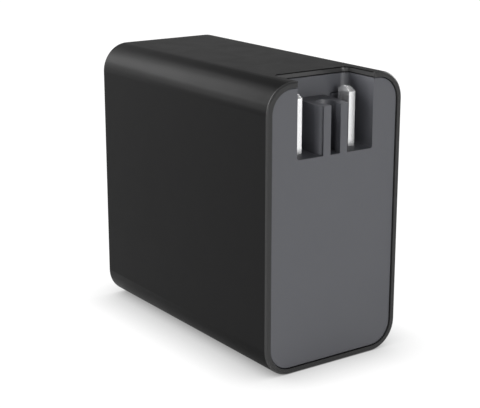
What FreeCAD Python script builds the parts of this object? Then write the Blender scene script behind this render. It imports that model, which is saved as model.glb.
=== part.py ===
"""USB-C wall charger: a parametric FreeCAD model in millimetres.

The charger stands on a long side wall with +Z up. X is its width, the rear end with the plug dock
faces -Y and the end with the USB-C receptacles faces +Y. The origin is the middle of the underside.
"""
import FreeCAD
import Part
import Sketcher

import math
import os
import re

SIZES = {
    # Overall form
    "body_width": 32.0,
    "body_depth": 60.0,
    "body_height": 56.5,
    "corner_radius": 5.8,
    # Sleeve
    "sleeve_wall": 1.12,
    "rim_bevel": 0.3,
    # End caps
    "panel_recess": 0.25,
    "panel_gap": 0.08,
    "panel_thickness": 2.0,
    "panel_bevel": 0.15,
    "skirt_length": 5.0,
    "skirt_wall": 1.2,
    "cap_clearance": 0.06,
    # Plug dock in the rear cap
    "dock_width": 18.0,
    "dock_depth": 8.05,
    "dock_floor_height": 41.8,
    "dock_floor_rise": 0.6,
    "dock_wall": 1.6,
    "dock_corner_radius": 1.6,
    "dock_floor_rounding": 0.5,
    "notch_edge_rounding": 0.35,
    # Centre block of the dock, with its keyhole guide
    "block_width": 7.0,
    "block_face_width": 5.7,
    "block_face_depth": 0.45,
    "block_corner_length": 1.65,
    "block_height": 9.4,
    "block_top_rise": 0.3,
    "keyhole_radius": 1.9,
    "keyhole_setback": 2.95,
    "keyhole_slit": 2.3,
    # Groove round the seat behind each blade
    "seat_width": 2.9,
    "seat_height": 9.35,
    "seat_rounding": 0.5,
    "groove_width": 0.25,
    "groove_depth": 0.6,
    # Contact blades
    "blade_spacing": 12.7,
    "blade_thickness": 1.5,
    "blade_width": 3.5,
    "blade_setback": 3.08,
    "blade_shoulder_height": 10.7,
    "blade_tip_height": 1.0,
    "blade_tip_bevel": 0.4,
    "blade_rear_rounding": 0.45,
    "blade_clearance": 0.05,
    # USB-C receptacles
    "port_pitch": 13.0,
    "port_recess": 0.4,
    "port_clearance": 0.12,
    "port_bevel": 0.4,
    "shell_width": 8.94,
    "shell_height": 3.16,
    "shell_wall": 0.3,
    "shell_length": 7.75,
    "tongue_base_length": 2.6,
    "tongue_clearance": 0.05,
    "tongue_width": 6.69,
    "tongue_thickness": 0.7,
    "tongue_length": 4.45,
    "tongue_chamfer": 0.2,
    "contact_count": 12,
    "contact_pitch": 0.5,
    "contact_width": 0.25,
    "contact_proud": 0.06,
    "contact_length": 3.6,
    # Boards
    "board_thickness": 1.6,
    "board_standoff": 1.6,
    "board_clearance": 0.1,
    "board_end_clearance": 0.5,
    "port_board_thickness": 1.2,
    "port_board_margin": 3.0,
    "port_board_rounding": 2.0,
    "inlet_board_thickness": 1.2,
    "inlet_board_drop": 2.0,
    "inlet_board_margin": 3.0,
    "inlet_board_overlap": 5.0,
    "link_size": 2.5,
    "link_length": 24.0,
    "insulation_thickness": 0.4,
    "insulation_gap": 0.2,
    # Transformer and its heat path
    "core_height": 22.0,
    "core_window": 3.5,
    "core_yoke": 3.5,
    "core_side": 2.5,
    "bobbin_clearance": 0.1,
    "bobbin_wall": 0.7,
    "bobbin_lip": 0.6,
    "winding_thickness": 2.2,
    "winding_clearance": 0.05,
    "winding_rounding": 1.5,
    "thermal_pad_width": 10.0,
    "thermal_pad_thickness": 2.0,
    "spreader_thickness": 0.8,
    "spreader_clearance": 2.5,
    "spreader_length": 30.0,
    "spreader_height": 36.0,
    "spreader_rounding": 2.0,
    # Input parts
    "part_gap": 1.0,
    "fuse_diameter": 4.6,
    "fuse_height": 8.0,
    "fuse_bevel": 0.5,
    "thermistor_diameter": 5.0,
    "thermistor_thickness": 2.6,
    "thermistor_bevel": 0.8,
    "choke_ring": 1.6,
    "choke_height": 5.6,
    "choke_wire": 0.8,
    "choke_angle": 140.0,
    "x_capacitor_width": 4.6,
    "x_capacitor_length": 12.5,
    "x_capacitor_height": 11.0,
    "x_capacitor_bevel": 0.5,
    "bridge_width": 4.4,
    "bridge_length": 8.4,
    "bridge_height": 2.6,
    "bridge_bevel": 0.3,
    "bulk_diameter": 9.0,
    "bulk_height": 19.0,
    "bulk_bevel": 0.8,
    # Switching parts
    "switch_size": 6.0,
    "switch_height": 0.9,
    "control_size": 4.0,
    "control_height": 0.9,
    "optocoupler_width": 4.6,
    "optocoupler_length": 6.5,
    "optocoupler_height": 3.4,
    "y_capacitor_diameter": 7.5,
    "y_capacitor_thickness": 4.2,
    "y_capacitor_bevel": 1.2,
    "chip_bevel": 0.15,
    # Output parts
    "output_height": 11.0,
    "output_bevel": 0.5,
    "inductor_height": 3.8,
    "inductor_bevel": 0.5,
    # How far a cut runs past the material that it takes away
    "overrun": 1.0,
}

NAME = re.compile(r"[a-z][a-z0-9_]*")
SIDES = {"left": "-1", "right": "1"}
LEVELS = {"lower": "-1", "middle": "0", "upper": "1"}
TOUCH = 1e-4
FULL_TURN = 360

document = FreeCAD.newDocument("usb_c_wall_charger")
sheet = document.addObject("Spreadsheet::Sheet", "Sizes")
for row, (alias, size) in enumerate(SIZES.items(), start=1):
    sheet.set(f"A{row}", str(size))
    sheet.setAlias(f"A{row}", alias)
document.recompute()


# Expressions on the sheet

def cells(expression):
    """Write an expression of size names as one that refers to the sheet's cells."""
    def cell(match):
        name = match.group()
        return f"Sizes.{name}" if name in SIZES else name
    return NAME.sub(cell, expression)


def value(expression):
    """The number that an expression of size names has now."""
    return float(sheet.evalExpression(cells(expression)))


def bind(thing, place, expression):
    """Tie a property of an object to an expression of size names."""
    thing.setExpression(place, cells(expression))


def place_at(thing, x="0", y="0", z="0"):
    """Tie an object's position to the sheet."""
    for axis, expression in (("x", x), ("y", y), ("z", z)):
        bind(thing, f"Placement.Base.{axis}", expression)


# Sketches

def line_to(x, y):
    """A corner of an outline that a straight stretch leads to."""
    return {"point": (x, y)}


def arc_to(x, y, radius, left=True, long_way=False):
    """A corner that an arc leads to, turning left or right, the short or the long way round."""
    return {"point": (x, y), "radius": radius, "left": left, "long_way": long_way}


def half_turn_to(x, y, centre):
    """A corner that a half circle leads to, turning left about a centre beside the chord."""
    return {"point": (x, y), "centre": centre, "left": True, "long_way": False}


def sketch_on(body, plane, offset="0"):
    """A sketch on one of the body's own planes, moved along that plane's normal."""
    support = next(part for part in body.Origin.OriginFeatures if part.Role == plane)
    sketch = body.newObject("Sketcher::SketchObject", f"{body.Name}_sketch")
    sketch.AttachmentSupport = (support, [""])
    sketch.MapMode = "FlatFace"
    bind(sketch, "AttachmentOffset.Base.z", offset)
    return sketch


def arc_between(start, end, corner):
    """The arc of an outline from one point to the next."""
    chord = end - start
    middle = (start + end) / 2
    radius = value(corner["radius"]) if "radius" in corner else chord.Length / 2
    rise = math.sqrt(max(radius ** 2 - chord.Length ** 2 / 4, 0.0))
    towards_left = FreeCAD.Vector(-chord.y, chord.x, 0).normalize()
    centre = middle + towards_left * (rise if corner["left"] != corner["long_way"] else -rise)
    first, last = (start, end) if corner["left"] else (end, start)
    from_angle = math.atan2(first.y - centre.y, first.x - centre.x)
    to_angle = math.atan2(last.y - centre.y, last.x - centre.x)
    circle = Part.Circle(centre, FreeCAD.Vector(0, 0, 1), radius)
    return Part.ArcOfCircle(circle, from_angle, to_angle)


def tie(sketch, expression, kind, *places):
    """Add one dimension to a sketch and tie it to the sheet."""
    index = sketch.addConstraint(Sketcher.Constraint(kind, *places, value(expression)))
    bind(sketch, f"Constraints[{index}]", expression)


def outline(sketch, corners):
    """Draw one closed outline, each corner and each arc tied to the sheet."""
    points = [FreeCAD.Vector(value(corner["point"][0]), value(corner["point"][1]), 0) for corner in corners]
    stretches = []
    ends = []
    for index, start in enumerate(points):
        following = (index + 1) % len(points)
        corner = corners[following]
        if "left" in corner:
            stretches.append(arc_between(start, points[following], corner))
            ends.append((1, 2) if corner["left"] else (2, 1))
        else:
            stretches.append(Part.LineSegment(start, points[following]))
            ends.append((1, 2))
    ids = sketch.addGeometry(stretches, False)
    for index, stretch in enumerate(ids):
        following = (index + 1) % len(points)
        corner = corners[following]
        sketch.addConstraint(Sketcher.Constraint(
            "Coincident", stretch, ends[index][1], ids[following], ends[following][0]))
        tie(sketch, corners[index]["point"][0], "DistanceX", -1, 1, stretch, ends[index][0])
        tie(sketch, corners[index]["point"][1], "DistanceY", -1, 1, stretch, ends[index][0])
        if "radius" in corner:
            tie(sketch, corner["radius"], "Radius", stretch)
        elif "centre" in corner:
            chord = points[following] - points[index]
            across = "DistanceX" if abs(chord.y) > abs(chord.x) else "DistanceY"
            tie(sketch, corner["centre"], across, -1, 1, stretch, 3)


def rectangle(sketch, left, right, bottom, top):
    """Draw a rectangle."""
    outline(sketch, [line_to(left, bottom), line_to(right, bottom), line_to(right, top), line_to(left, top)])


def rounded_rectangle(sketch, left, right, bottom, top, radius):
    """Draw a rectangle with round corners."""
    outline(sketch, [
        arc_to(f"{left} + {radius}", bottom, radius),
        line_to(f"{right} - {radius}", bottom),
        arc_to(right, f"{bottom} + {radius}", radius),
        line_to(right, f"{top} - {radius}"),
        arc_to(f"{right} - {radius}", top, radius),
        line_to(f"{left} + {radius}", top),
        arc_to(left, f"{top} - {radius}", radius),
        line_to(left, f"{bottom} + {radius}"),
    ])


def racetrack(sketch, half_width, half_height, level="0"):
    """Draw a flat slot with half-round ends, centred across the width at a level."""
    straight = f"({half_width} - {half_height})"
    outline(sketch, [
        half_turn_to(f"-{straight}", f"{level} - {half_height}", f"-{straight}"),
        line_to(straight, f"{level} - {half_height}"),
        half_turn_to(straight, f"{level} + {half_height}", straight),
        line_to(f"-{straight}", f"{level} + {half_height}"),
    ])


def section(sketch, inset):
    """Draw the charger's cross-section, set in from its outside by some distance."""
    rounded_rectangle(
        sketch, f"-body_width / 2 + {inset}", f"body_width / 2 - {inset}",
        inset, f"body_height - {inset}", f"(corner_radius - {inset})")


# Features

def new_body(label):
    """A body whose label is its node's name."""
    body = document.addObject("PartDesign::Body", label)
    body.Label = label
    return body


def extrude(body, kind, sketch, length, reverse=False, symmetric=False):
    """Pad or pocket a sketch."""
    feature = body.newObject(f"PartDesign::{kind}", f"{body.Name}_{kind.lower()}")
    feature.Profile = sketch
    feature.Reversed = reverse
    feature.SideType = "Symmetric" if symmetric else "One side"
    bind(feature, "Length", length)
    return feature


def pad(body, sketch, length, reverse=False, symmetric=False):
    """Add a sketch's outline along its normal, or against it."""
    return extrude(body, "Pad", sketch, length, reverse, symmetric)


def pocket(body, sketch, length, reverse=False, symmetric=False):
    """Take a sketch's outline away against its normal, or along it."""
    return extrude(body, "Pocket", sketch, length, reverse, symmetric)


def dress(body, kind, chosen, prop, size):
    """Fillet or chamfer those edges of the body, as it is so far, that a test chooses."""
    document.recompute()
    base = body.Tip
    edges = [f"Edge{index}" for index, edge in enumerate(base.Shape.Edges, start=1) if chosen(edge)]
    feature = body.newObject(f"PartDesign::{kind}", f"{body.Name}_{kind.lower()}")
    feature.Base = (base, edges)
    bind(feature, prop, size)
    return feature


def fillet(body, chosen, radius):
    """Round the chosen edges."""
    return dress(body, "Fillet", chosen, "Radius", radius)


def chamfer(body, chosen, size):
    """Break the chosen edges."""
    return dress(body, "Chamfer", chosen, "Size", size)


def lies_at(edge, axis, place):
    """Whether an edge lies wholly at one place along an axis."""
    box = edge.BoundBox
    low = getattr(box, f"{axis}Min")
    high = getattr(box, f"{axis}Max")
    return abs(low - place) < TOUCH and abs(high - place) < TOUCH


def runs_along(edge, axis):
    """Whether an edge is straight and runs along one axis."""
    box = edge.BoundBox
    others = [letter for letter in "XYZ" if letter != axis]
    return all(getattr(box, f"{letter}Length") < TOUCH for letter in others)


def depth_inside(edge):
    """How far the middle of an edge lies inside the outside of the cross-section."""
    middle = edge.valueAt((edge.FirstParameter + edge.LastParameter) / 2)
    radius = value("corner_radius")
    across = abs(middle.x) - (value("body_width") / 2 - radius)
    up = abs(middle.z - value("body_height") / 2) - (value("body_height") / 2 - radius)
    return radius - math.hypot(max(across, 0.0), max(up, 0.0)) - min(max(across, up), 0.0)


def revolve(body, sketch, axis, angle=str(FULL_TURN)):
    """Turn a sketch about one of its own axes."""
    feature = body.newObject("PartDesign::Revolution", f"{body.Name}_revolution")
    feature.Profile = sketch
    feature.ReferenceAxis = (sketch, [axis])
    feature.Midplane = True
    bind(feature, "Angle", angle)
    return feature


# Shared places

rear_face_y = "(-body_depth / 2 + panel_recess)"
front_face_y = "(body_depth / 2 - panel_recess)"
rear_plate_y = f"({rear_face_y} + panel_thickness)"
panel_inset = "(sleeve_wall + panel_gap)"
panel_top_z = f"(body_height - {panel_inset})"
skirt_inset = "(sleeve_wall + cap_clearance)"
dock_back_y = f"({rear_face_y} + dock_depth)"
dock_outer_y = f"({dock_back_y} + dock_wall)"
dock_half = "(dock_width / 2)"
dock_outer_half = "(dock_width / 2 + dock_wall)"
dock_underside_z = "(dock_floor_height - dock_wall)"
floor_back_z = "(dock_floor_height + dock_floor_rise)"
blade_front_y = f"({rear_face_y} + blade_setback)"
blade_back_y = f"({blade_front_y} + blade_width)"
inlet_top_z = f"({dock_underside_z} - inlet_board_drop)"
inlet_bottom_z = f"({inlet_top_z} - inlet_board_thickness)"
port_middle_z = "(body_height / 2)"
shell_front_y = f"({front_face_y} - port_recess)"
shell_rear_y = f"({shell_front_y} - shell_length)"
port_board_rear_y = f"({shell_rear_y} - port_board_thickness)"

inner_radius = "(corner_radius - sleeve_wall)"
board_back_x = "(-body_width / 2 + sleeve_wall + board_standoff)"
board_face_x = f"({board_back_x} + board_thickness)"
corner_lift = f"({inner_radius} - sqrt({inner_radius}^2 - ({inner_radius} - board_standoff)^2))"
board_bottom_z = f"(sleeve_wall + {corner_lift} + board_clearance)"
board_top_z = f"(body_height - sleeve_wall - {corner_lift} - board_clearance)"
board_rear_y = f"({dock_outer_y} + board_end_clearance)"
board_front_y = f"({port_board_rear_y} - board_clearance)"
inlet_rear_y = f"({rear_plate_y} + board_end_clearance)"
inlet_front_y = f"({board_rear_y} + inlet_board_overlap)"
inlet_right_x = "(blade_spacing / 2 + blade_thickness / 2 + inlet_board_margin)"

column_rear_y = f"({board_rear_y} + part_gap / 2)"
row_bottom_z = f"({board_bottom_z} + part_gap)"
bulk_y = f"({column_rear_y} + x_capacitor_width + part_gap + bulk_diameter / 2)"
bulk_top_z = f"({row_bottom_z} + {len(LEVELS)} * bulk_diameter + {len(LEVELS) - 1} * part_gap)"
core_rear_y = f"({bulk_y} + bulk_diameter / 2 + part_gap)"
core_front_y = f"({port_board_rear_y} - link_size - part_gap)"
core_width = f"({core_front_y} - {core_rear_y})"
core_leg = f"({core_width} - 2 * core_side - 2 * core_window)"
core_y = f"(({core_rear_y} + {core_front_y}) / 2)"
output_size = f"(({core_width} - {len(LEVELS) - 1} * part_gap) / {len(LEVELS)})"
core_z = f"({row_bottom_z} + {output_size} + part_gap + core_height / 2)"
spreader_x = "(body_width / 2 - sleeve_wall - spreader_clearance - spreader_thickness)"
pad_x = f"({spreader_x} - thermal_pad_thickness)"
tube_wall = "(bobbin_clearance + bobbin_wall)"
flange_reach = f"({tube_wall} + winding_thickness + bobbin_lip)"
winding_reach = f"({tube_wall} + winding_clearance + winding_thickness)"
core_depth = f"({pad_x} - {board_face_x} - {flange_reach} - {winding_reach})"
core_x = f"({board_face_x} + {flange_reach} + {core_depth} / 2)"
flange_half = f"({core_depth} / 2 + {flange_reach})"
tube_x = f"({core_depth} / 2 + {tube_wall})"
tube_y = f"({core_leg} / 2 + {tube_wall})"
window_height = "(core_height - 2 * core_yoke)"
winding_height = f"({window_height} - 2 * {tube_wall} - 2 * winding_clearance)"
winding_x = f"({core_depth} / 2 + {winding_reach})"
winding_y = f"({core_leg} / 2 + {winding_reach})"
row_one_z = f"({core_z} + core_height / 2 + part_gap + {output_size} / 2)"
row_two_z = f"({board_top_z} - part_gap - y_capacitor_diameter / 2)"


# Housing

def build_sleeve():
    """The black tube, with the notch that a plug head slides down through."""
    body = new_body("sleeve")
    wall = sketch_on(body, "XZ_Plane")
    section(wall, "0")
    section(wall, "sleeve_wall")
    pad(body, wall, "body_depth", symmetric=True)
    end_y = value("body_depth / 2")
    chamfer(body, lambda edge: abs(depth_inside(edge)) < TOUCH and (
        lies_at(edge, "Y", end_y) or lies_at(edge, "Y", -end_y)), "rim_bevel")
    rear = "(-body_depth / 2)"
    flare = f"({dock_half} + notch_edge_rounding)"
    notch = sketch_on(body, "XY_Plane", "body_height + overrun")
    outline(notch, [
        line_to(f"-{flare}", f"{rear} - overrun"),
        line_to(flare, f"{rear} - overrun"),
        line_to(flare, rear),
        arc_to(dock_half, f"{rear} + notch_edge_rounding", "notch_edge_rounding", left=False),
        line_to(dock_half, f"{dock_back_y} - dock_corner_radius"),
        arc_to(f"{dock_half} - dock_corner_radius", dock_back_y, "dock_corner_radius"),
        line_to(f"-{dock_half} + dock_corner_radius", dock_back_y),
        arc_to(f"-{dock_half}", f"{dock_back_y} - dock_corner_radius", "dock_corner_radius"),
        line_to(f"-{dock_half}", f"{rear} + notch_edge_rounding"),
        arc_to(f"-{flare}", rear, "notch_edge_rounding", left=False),
    ])
    pocket(body, notch, "2 * overrun + sleeve_wall")
    return body


def cap_shell(body, face, into, face_y):
    """The inset face of an end cap and the skirt behind it that fits the sleeve.

    face is the plane's place along the sketch normal, and into says whether the cap grows against it.
    """
    plate = sketch_on(body, "XZ_Plane", face)
    section(plate, panel_inset)
    pad(body, plate, "panel_thickness", reverse=into)
    chamfer(body, lambda edge: lies_at(edge, "Y", value(face_y)), "panel_bevel")
    step = "-panel_thickness" if into else "panel_thickness"
    skirt = sketch_on(body, "XZ_Plane", f"{face} + {step}")
    section(skirt, skirt_inset)
    section(skirt, f"({skirt_inset} + skirt_wall)")
    pad(body, skirt, "skirt_length", reverse=into)


def build_rear_cap():
    """The grey cap with the plug dock: two slots, a centre block and a keyhole guide."""
    body = new_body("rear_cap")
    cap_shell(body, f"-{rear_face_y}", True, rear_face_y)
    behind_plate = f"-{rear_plate_y}"
    open_top = sketch_on(body, "XZ_Plane", behind_plate)
    rectangle(open_top, f"-{dock_outer_half}", dock_outer_half, panel_top_z, "body_height")
    pocket(body, open_top, "skirt_length + overrun")
    walls = sketch_on(body, "XZ_Plane", behind_plate)
    rectangle(walls, f"-{dock_outer_half}", dock_outer_half, dock_underside_z, panel_top_z)
    pad(body, walls, "dock_depth + dock_wall - panel_thickness", reverse=True)
    cut_dock(body)
    add_centre_block(body)
    cut_grooves(body)
    holes = sketch_on(body, "XY_Plane", f"{floor_back_z} + overrun")
    blade_holes(holes)
    pocket(body, holes, "dock_wall + dock_floor_rise + 2 * overrun")
    return body


def cut_dock(body):
    """Open the dock to the rear and the top, with a floor that rises towards the back wall."""
    before_face = f"({rear_face_y} - overrun)"
    fall = "(dock_floor_rise * overrun / dock_depth)"
    space = sketch_on(body, "YZ_Plane")
    outline(space, [
        line_to(before_face, f"dock_floor_height - {fall}"),
        line_to(dock_back_y, floor_back_z),
        line_to(dock_back_y, "body_height"),
        line_to(before_face, "body_height"),
    ])
    pocket(body, space, "dock_width", symmetric=True)
    half = value(dock_half)
    back = value(dock_back_y)

    def on_side_wall(edge):
        return lies_at(edge, "X", half) or lies_at(edge, "X", -half)

    fillet(body, lambda edge: on_side_wall(edge) and lies_at(edge, "Y", back), "dock_corner_radius")
    fillet(body, lambda edge: on_side_wall(edge) and edge.BoundBox.ZMax < value(floor_back_z) + TOUCH,
           "dock_floor_rounding")


def add_centre_block(body):
    """The block between the slots: a keyhole with a flat seat, and a top that slopes to the back wall."""
    strip_y = f"({rear_face_y} + block_face_depth)"
    side_y = f"({strip_y} + block_corner_length)"
    corner_in = "((block_width - block_face_width) / 2)"
    corner_arc = f"(({corner_in}^2 + block_corner_length^2) / (2 * {corner_in}))"
    slit = "(keyhole_slit / 2)"
    mouth_y = f"({rear_face_y} + keyhole_setback - sqrt(keyhole_radius^2 - {slit}^2))"
    root_y = f"({dock_back_y} + dock_wall / 2)"
    plan = sketch_on(body, "XY_Plane", "dock_floor_height - dock_wall / 2")
    outline(plan, [
        line_to("-block_face_width / 2", rear_face_y),
        line_to(f"-{slit}", rear_face_y),
        line_to(f"-{slit}", mouth_y),
        arc_to(slit, mouth_y, "keyhole_radius", left=False, long_way=True),
        line_to(slit, rear_face_y),
        line_to("block_face_width / 2", rear_face_y),
        line_to("block_face_width / 2", strip_y),
        arc_to("block_width / 2", side_y, corner_arc),
        line_to("block_width / 2", root_y),
        line_to("-block_width / 2", root_y),
        line_to("-block_width / 2", side_y),
        arc_to("-block_face_width / 2", strip_y, corner_arc),
    ])
    pad(body, plan, "dock_wall / 2 + block_height + block_top_rise")
    middle_y = f"({rear_face_y} + keyhole_setback)"
    mouth_rise = f"(dock_floor_rise * ({mouth_y} - {rear_face_y}) / dock_depth)"
    seat = sketch_on(body, "XY_Plane", floor_back_z)
    outline(seat, [
        half_turn_to("-keyhole_radius", middle_y, middle_y),
        half_turn_to("keyhole_radius", middle_y, middle_y),
    ])
    pocket(body, seat, f"dock_floor_rise - {mouth_rise}")
    before_face = f"({rear_face_y} - overrun)"
    top_z = "(dock_floor_height + block_height)"
    slope = sketch_on(body, "YZ_Plane")
    outline(slope, [
        line_to(before_face, f"{top_z} - block_top_rise * overrun / dock_depth"),
        line_to(dock_back_y, f"{top_z} + block_top_rise"),
        line_to(before_face, f"{top_z} + block_top_rise"),
    ])
    pocket(body, slope, "block_width + overrun", symmetric=True)


def cut_grooves(body):
    """The narrow groove in the back wall round the seat behind each blade."""
    half = "(seat_width / 2)"
    top_z = f"({floor_back_z} + seat_height)"
    inner_half = f"({half} - groove_width)"
    inner_top_z = f"({top_z} - groove_width)"
    inner_rounding = "(seat_rounding - groove_width)"
    spring_z = f"({top_z} - seat_rounding)"
    straight = f"({half} - seat_rounding)"
    grooves = sketch_on(body, "XZ_Plane", f"-{dock_back_y}")
    for side in SIDES.values():
        middle = f"{side} * blade_spacing / 2"
        outline(grooves, [
            line_to(f"{middle} - {half}", floor_back_z),
            line_to(f"{middle} - {inner_half}", floor_back_z),
            line_to(f"{middle} - {inner_half}", spring_z),
            arc_to(f"{middle} - {straight}", inner_top_z, inner_rounding, left=False),
            line_to(f"{middle} + {straight}", inner_top_z),
            arc_to(f"{middle} + {inner_half}", spring_z, inner_rounding, left=False),
            line_to(f"{middle} + {inner_half}", floor_back_z),
            line_to(f"{middle} + {half}", floor_back_z),
            line_to(f"{middle} + {half}", spring_z),
            arc_to(f"{middle} + {straight}", top_z, "seat_rounding"),
            line_to(f"{middle} - {straight}", top_z),
            arc_to(f"{middle} - {half}", spring_z, "seat_rounding"),
        ])
    pocket(body, grooves, "groove_depth")


def blade_holes(sketch):
    """Draw the two holes that the blades pass through."""
    half = "(blade_thickness / 2 + blade_clearance)"
    for side in SIDES.values():
        middle = f"{side} * blade_spacing / 2"
        rectangle(sketch, f"{middle} - {half}", f"{middle} + {half}",
                  f"{blade_front_y} - blade_clearance", f"{blade_back_y} + blade_clearance")


def build_front_cap():
    """The grey cap at the other end, with its USB-C openings."""
    body = new_body("front_cap")
    cap_shell(body, f"-{front_face_y}", False, front_face_y)
    openings = sketch_on(body, "XZ_Plane", f"-{front_face_y} - overrun")
    for level in LEVELS.values():
        racetrack(openings, "(shell_width / 2 + port_clearance)", "(shell_height / 2 + port_clearance)",
                  f"{port_middle_z} + {level} * port_pitch")
    pocket(body, openings, "panel_thickness + 2 * overrun", reverse=True)
    reach = value("shell_width / 2 + port_clearance")
    chamfer(body, lambda edge: lies_at(edge, "Y", value(front_face_y)) and
            max(abs(edge.BoundBox.XMin), abs(edge.BoundBox.XMax)) < reach + TOUCH, "port_bevel")
    return body


# Dock contacts

def build_blade(name, side):
    """An upright contact blade with an arched, bevelled tip and a rounded rear."""
    body = new_body(f"blade_{name}")
    place_at(body, x=f"{side} * blade_spacing / 2")
    shoulder_z = "(dock_floor_height + blade_shoulder_height)"
    tip_arc = "((blade_width^2 / 4 + blade_tip_height^2) / (2 * blade_tip_height))"
    profile = sketch_on(body, "YZ_Plane")
    outline(profile, [
        line_to(blade_front_y, inlet_bottom_z),
        line_to(blade_back_y, inlet_bottom_z),
        line_to(blade_back_y, shoulder_z),
        arc_to(blade_front_y, shoulder_z, tip_arc),
    ])
    pad(body, profile, "blade_thickness", symmetric=True)
    rear = value(blade_back_y)
    fillet(body, lambda edge: runs_along(edge, "Z") and lies_at(edge, "Y", rear), "blade_rear_rounding")
    tip_z = f"({shoulder_z} + blade_tip_height)"
    bevels = sketch_on(body, "XZ_Plane", f"-{blade_front_y} + overrun")
    for sign in SIDES.values():
        foot = line_to(f"{sign} * blade_thickness / 2", shoulder_z)
        head = line_to(f"{sign} * (blade_thickness / 2 - blade_tip_bevel)", tip_z)
        outside = line_to(f"{sign} * blade_thickness / 2", tip_z)
        outline(bevels, [foot, outside, head])
    pocket(body, bevels, "blade_width + 2 * overrun")
    return body


def build_inlet_board():
    """The small board under the dock that the blades are soldered into."""
    body = new_body("inlet_board")
    plan = sketch_on(body, "XY_Plane", inlet_bottom_z)
    rectangle(plan, board_face_x, inlet_right_x, inlet_rear_y, inlet_front_y)
    blade_holes(plan)
    pad(body, plan, "inlet_board_thickness")
    return body


# USB-C receptacles

def build_port(name, level):
    """One receptacle: its shell, its tongue and the contacts on both faces of the tongue."""
    height = f"{port_middle_z} + {level} * port_pitch"
    inner_half_width = "(shell_width / 2 - shell_wall)"
    inner_half_height = "(shell_height / 2 - shell_wall)"
    behind = f"-{shell_rear_y}"

    shell = new_body(f"usb_c_shell_{name}")
    place_at(shell, z=height)
    ring = sketch_on(shell, "XZ_Plane", behind)
    racetrack(ring, "(shell_width / 2)", "(shell_height / 2)")
    racetrack(ring, inner_half_width, inner_half_height)
    pad(shell, ring, "shell_length", reverse=True)

    tongue = new_body(f"usb_c_tongue_{name}")
    place_at(tongue, z=height)
    base = sketch_on(tongue, "XZ_Plane", behind)
    racetrack(base, f"({inner_half_width} - tongue_clearance)", f"({inner_half_height} - tongue_clearance)")
    pad(tongue, base, "tongue_base_length", reverse=True)
    blade = sketch_on(tongue, "XZ_Plane", f"{behind} - tongue_base_length")
    rectangle(blade, "-tongue_width / 2", "tongue_width / 2", "-tongue_thickness / 2", "tongue_thickness / 2")
    pad(tongue, blade, "tongue_length", reverse=True)
    tip_y = value(f"{shell_rear_y} + tongue_base_length + tongue_length")
    chamfer(tongue, lambda edge: lies_at(edge, "Y", tip_y) and runs_along(edge, "X"), "tongue_chamfer")

    contacts = new_body(f"usb_c_contacts_{name}")
    contacts.AllowCompound = True
    place_at(contacts, z=height)
    first_x = "(-(contact_count - 1) * contact_pitch / 2)"
    strips = sketch_on(contacts, "XZ_Plane", f"{behind} - tongue_base_length")
    for sign in SIDES.values():
        seat = f"{sign} * tongue_thickness / 2"
        outside = f"{sign} * (tongue_thickness / 2 + contact_proud)"
        rectangle(strips, f"{first_x} - contact_width / 2", f"{first_x} + contact_width / 2", seat, outside)
    strip = pad(contacts, strips, "contact_length", reverse=True)
    pattern = contacts.newObject("PartDesign::LinearPattern", f"{contacts.Name}_pattern")
    pattern.Originals = [strip]
    pattern.Direction = (strips, ["H_Axis"])
    bind(pattern, "Length", "(contact_count - 1) * contact_pitch")
    bind(pattern, "Occurrences", "contact_count")
    contacts.Tip = pattern
    return [shell, tongue, contacts]


# Boards

def block(label, x, y, z, bevel=None):
    """A moulded block between named limits, each a pair of expressions."""
    body = new_body(label)
    plan = sketch_on(body, "XY_Plane", z[0])
    rectangle(plan, x[0], x[1], y[0], y[1])
    pad(body, plan, f"{z[1]} - {z[0]}")
    if bevel:
        chamfer(body, lambda edge: True, bevel)
    return body


def spread(middle, width):
    """The two limits of something of some width about a middle."""
    return (f"({middle} - {width} / 2)", f"({middle} + {width} / 2)")


def on_board(label, y, z, width, length, height, bevel):
    """A moulded part that sits on the main board's face."""
    rise = (board_face_x, f"({board_face_x} + {height})")
    return block(label, rise, spread(y, width), spread(z, length), bevel)


def build_boards():
    """The main board, the port board, the link between them and the sheet behind the main board."""
    main = block("main_board", (board_back_x, board_face_x), (board_rear_y, board_front_y),
                 (board_bottom_z, board_top_z))
    port = new_body("port_board")
    face = sketch_on(port, "XZ_Plane", f"-{shell_rear_y}")
    margin = "(sleeve_wall + port_board_margin)"
    rounded_rectangle(face, f"{board_face_x} + board_clearance", f"body_width / 2 - {margin}",
                      margin, f"body_height - {margin}", "port_board_rounding")
    pad(port, face, "port_board_thickness")
    link = block("board_link", (board_face_x, f"({board_face_x} + link_size)"),
                 (f"({port_board_rear_y} - link_size)", port_board_rear_y),
                 spread(port_middle_z, "link_length"))
    sheet_x = "(-body_width / 2 + sleeve_wall + insulation_gap)"
    insulation = block("insulation_sheet", (sheet_x, f"({sheet_x} + insulation_thickness)"),
                       (board_rear_y, board_front_y), ("corner_radius", "(body_height - corner_radius)"))
    return [main, port, link, insulation, build_inlet_board()]


# Parts on the boards

def turned(label, axis, corners, x, y, z):
    """A round part: an outline of (along, out) corners turned about its own axis."""
    body = new_body(label)
    place_at(body, x, y, z)
    profile = sketch_on(body, "XY_Plane" if axis == "X" else "XZ_Plane")
    if axis == "X":
        outline(profile, corners)
        revolve(body, profile, "H_Axis")
    else:
        outline(profile, [dict(corner, point=corner["point"][::-1]) for corner in corners])
        revolve(body, profile, "V_Axis")
    return body


def capacitor(label, diameter, height, bevel, y, z):
    """A can that stands on the main board, with a bevelled end."""
    radius = f"{diameter} / 2"
    return turned(label, "X", [
        line_to("0", "0"),
        line_to(height, "0"),
        line_to(height, f"{radius} - {bevel}"),
        line_to(f"{height} - {bevel}", radius),
        line_to("0", radius),
    ], board_face_x, y, z)


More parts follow.
